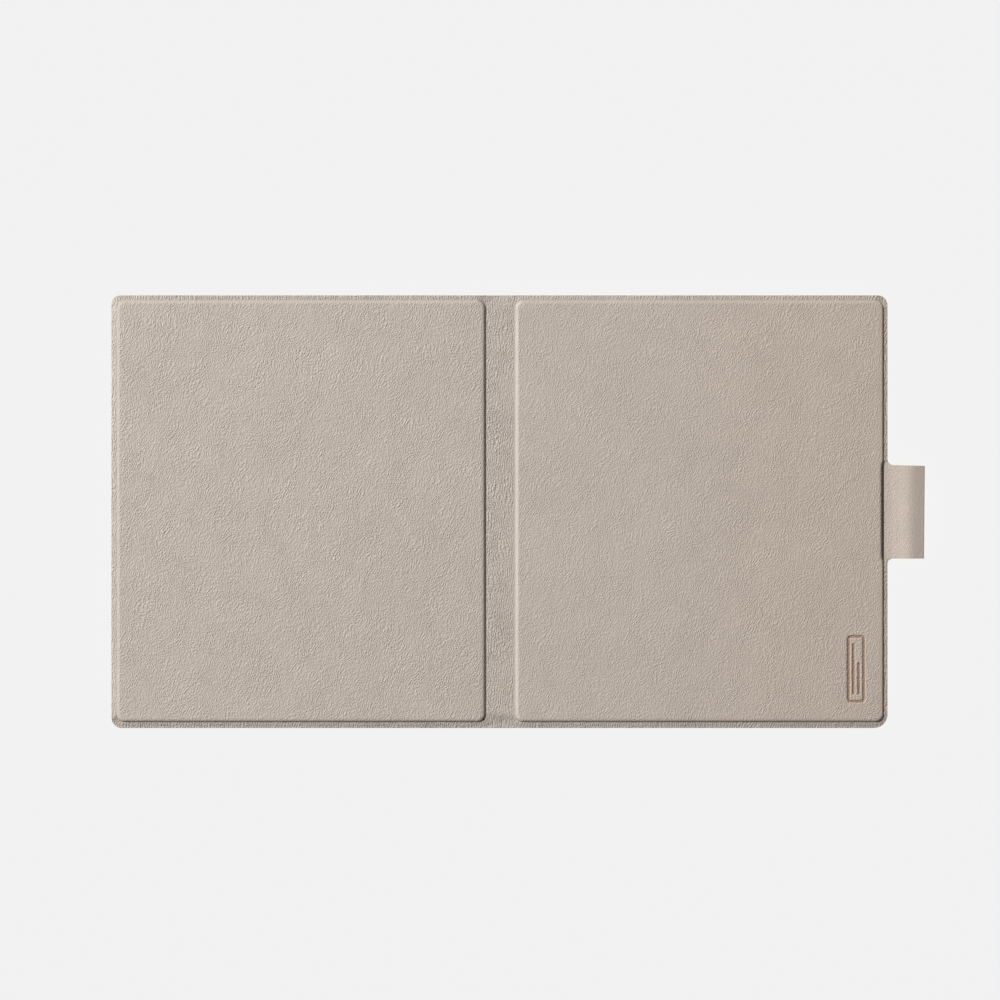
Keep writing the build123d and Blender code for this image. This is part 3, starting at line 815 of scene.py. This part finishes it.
def lining(name, side, end, corners):
    """One cover's half of the lining, with its half of the spine."""
    top_corner, bottom_corner = corners
    far = end - LINING_INSET
    limit = COVER_TOP - LINING_INSET

    def half_height(out, radius):
        past = max(out - (far - radius), 0.0)
        return limit - radius + sqrt(max(radius * radius - past * past, 0.0))

    outs = [0.4 * i for i in range(15)]
    outs += [LINING_DENSE + (far - LINING_DENSE - LINING_TURN) * i / 40 for i in range(41)]
    outs += [far - LINING_TURN + LINING_TURN * sin(pi / 2 * i / 16) for i in range(1, 17)]
    upper, lower, grain = [], [], []
    for out in outs:
        high = half_height(out, top_corner)
        low = -half_height(out, bottom_corner)
        row = [mix(low, high, j / LINING_ROWS) for j in range(LINING_ROWS + 1)]
        x = SPINE_X + side * out
        upper.append([(x, y, SKIN_Z - 0.02) for y in row])
        lower.append([(x, y, LINING_Z + 0.4 * waves(x, y, 21.0) + 0.03) for y in row])
        grain.append([(x, y, 0.0) for y in row])
    piece = slab(name, upper, lower, MATERIALS["folio_lining"], grain)
    return piece


back_lining = lining("back_lining", -1, LINING_ENDS[0], BACK_CORNERS)
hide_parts("back_cover_lining")
fold_blend(back_lining, -1, "back_cover")
front_lining = lining("front_lining", 1, LINING_ENDS[1], FRONT_CORNERS)
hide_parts("front_cover_lining", "spine_lining")
fold_blend(front_lining, 1, "front_cover")

# ---------------------------------------------------------------- pen loop


def curve_through(points, steps):
    """A smooth curve through the points, with even parameter steps on every span."""
    ends = [points[0]] + points + [points[-1]]
    curve = []
    for a, b, c, d in zip(ends, ends[1:], ends[2:], ends[3:]):
        for i in range(steps):
            t = i / steps
            curve.append(tuple(
                0.5 * (2 * q + (r - p) * t + (2 * p - 5 * q + 4 * r - s) * t * t
                       + (3 * q - p - 3 * r + s) * t ** 3)
                for p, q, r, s in zip(a, b, c, d)))
    curve.append(points[-1])
    return curve


def pen_loop():
    """The tab of the front skin: it rises over its crest, folds and hangs back underneath."""
    edge = SPINE_X + LOOP_EDGE
    heights = [(u, BORDER_Z + h) for u, h in LOOP_HEIGHTS]
    path = curve_through(heights + LOOP_UNDER, 5)
    upper_count = len(LOOP_HEIGHTS) * 5
    columns = 72
    upper, lower, grain, amounts = [], [], [], []
    run = 0.0
    for index, (u, z) in enumerate(path):
        before = path[max(index - 1, 0)]
        after = path[min(index + 1, len(path) - 1)]
        along = Vector((after[0] - before[0], after[1] - before[1])).normalized()
        inward = Vector((along.y, -along.x)) * SKIN_T
        run += hypot(u - before[0], z - before[1])
        flare = 0.0
        if index < upper_count and u < LOOP_NOTCH:
            past = min(LOOP_NOTCH - u, LOOP_NOTCH)
            flare = LOOP_NOTCH - sqrt(LOOP_NOTCH ** 2 - past ** 2)
        reach = min(max(u, 0.0) / LOOP_REACH, 1.0)
        low = -LOOP_HALF - flare * 0.85
        high = LOOP_HALF + flare - LOOP_TAPER * reach
        outer_row, inner_row, grain_row = [], [], []
        for i in range(columns + 1):
            y = mix(low, high, 0.5 - 0.5 * cos(pi * i / columns))
            lean = LOOP_LEAN * reach * y / LOOP_HALF
            past = smooth(abs(y), LOOP_HALF - 0.8, LOOP_HALF + LOOP_NOTCH - 0.2)
            past *= 1 - smooth(u, 0.2, LOOP_NOTCH)
            level = z
            if index < upper_count:
                border = BORDER_Z + 0.02 - tan(radians(LOOP_SKIRT)) * (u + 1.05)
                level = mix(z, min(z, border), past)
            sway = 0.05 * noise.noise(Vector((run * 0.16, y * 0.12, 40.0)))
            sway *= smooth(run, 0.5, 3.0)
            outer_row.append((edge + u + lean, y, level + sway))
            inner_row.append((edge + u + lean + inward.x, y, level + sway + inward.y))
            grain_row.append((edge + run, y, 0.0))
        upper.append(outer_row)
        lower.append(inner_row)
        grain.append(grain_row)
        amounts.append(mix(0.5, 0.25, smooth(u, 6.0, 11.0)))
    piece = slab("loop_skin", upper, lower, LEATHERETTE, grain, amounts)
    return piece


loop_piece = pen_loop()
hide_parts("pen_loop")
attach(loop_piece, "front_cover")

# ---------------------------------------------------------------- floor, light and camera


KEY_AZIMUTH = 32         # degrees from the left towards the top
KEY_ELEVATION = 30
KEY_DISTANCE = 3.8       # metres
FLOOR_SHADE = 0.2
FLOOR_GLOW = 0.35        # stands in for the light that a big studio scatters into shadows
BACKDROP = 0.88          # the world as the camera sees it
AMBIENT = 0.035          # the world as it lights the object
VIEW_WIDTH = 370.0       # of the camera, at the height of the panels
VIEW_MIDDLE = (-0.05, 4.35)          # from the middle of the spine


def stage_floor():
    n = Nodes("floor_paper")
    n.shade(color=rgba(FLOOR_SHADE, FLOOR_SHADE, FLOOR_SHADE), roughness=0.9, specular=0.05,
            glow=FLOOR_GLOW)
    mesh = bmesh.new()
    bmesh.ops.create_grid(mesh, x_segments=1, y_segments=1, size=6.0)
    data = bpy.data.meshes.new("floor")
    mesh.to_mesh(data)
    mesh.free()
    data.materials.append(n.material)
    floor = bpy.data.objects.new("floor", data)
    bpy.context.scene.collection.objects.link(floor)
    return floor


def lamp(name, kind, energy, location=(0, 0, 2), size=1.0, color=(1, 1, 1)):
    """A light that shines on the middle of the object."""
    data = bpy.data.lights.new(name, kind)
    data.energy = energy
    data.color = color
    if kind == "AREA":
        data.shape = "DISK"
        data.size = size
    else:
        data.angle = radians(size)
    light = bpy.data.objects.new(name, data)
    light.location = location
    light.rotation_euler = (-Vector(location)).to_track_quat("-Z", "Y").to_euler()
    bpy.context.scene.collection.objects.link(light)
    return light


def link_light(light, floor, state):
    """INCLUDE lights the floor alone, EXCLUDE lights everything but the floor."""
    group = bpy.data.collections.new(light.name + "_receivers")
    group.objects.link(floor)
    group.collection_objects[0].light_linking.link_state = state
    light.light_linking.receiver_collection = group


def lights(floor):
    """A raking key from the upper left, a weak fill from above, and the floor's own light."""
    azimuth = radians(KEY_AZIMUTH)
    elevation = radians(KEY_ELEVATION)
    place = Vector((-cos(elevation) * cos(azimuth), cos(elevation) * sin(azimuth), sin(elevation)))
    key = lamp("key", "AREA", 236.0, place * KEY_DISTANCE, 0.85, (1.0, 0.985, 0.965))
    fill = lamp("fill", "AREA", 4.0, (0.1, -0.25, 2.2), 1.6)
    wash = lamp("floor_wash", "SUN", 8.2, (0, 0, 2), 3.0)
    link_light(key, floor, "EXCLUDE")
    link_light(fill, floor, "EXCLUDE")
    link_light(wash, floor, "INCLUDE")

    world = bpy.data.worlds.new("studio")
    world.use_nodes = True
    tree = world.node_tree
    tree.nodes.clear()
    output = tree.nodes.new("ShaderNodeOutputWorld")
    background = tree.nodes.new("ShaderNodeBackground")
    background.inputs["Color"].default_value = (1, 1, 1, 1)
    path = tree.nodes.new("ShaderNodeLightPath")
    level = tree.nodes.new("ShaderNodeMapRange")
    level.inputs["To Min"].default_value = AMBIENT
    level.inputs["To Max"].default_value = BACKDROP
    tree.links.new(path.outputs["Is Camera Ray"], level.inputs["Value"])
    tree.links.new(level.outputs["Result"], background.inputs["Strength"])
    tree.links.new(background.outputs[0], output.inputs["Surface"])
    bpy.context.scene.world = world


def camera():
    data = bpy.data.cameras.new("camera")
    data.sensor_width = 36.0
    data.lens = 100.0
    data.clip_end = 20.0
    seer = bpy.data.objects.new("camera", data)
    height = VIEW_WIDTH * data.lens / data.sensor_width
    x, y = VIEW_MIDDLE
    seer.location = ((SPINE_X + x) * MM, y * MM, (PAD_Z + height) * MM)
    bpy.context.scene.collection.objects.link(seer)
    bpy.context.scene.camera = seer


floor_object = stage_floor()
lights(floor_object)
camera()
bpy.context.scene.view_settings.view_transform = "Standard"
bpy.context.scene.view_settings.look = "None"
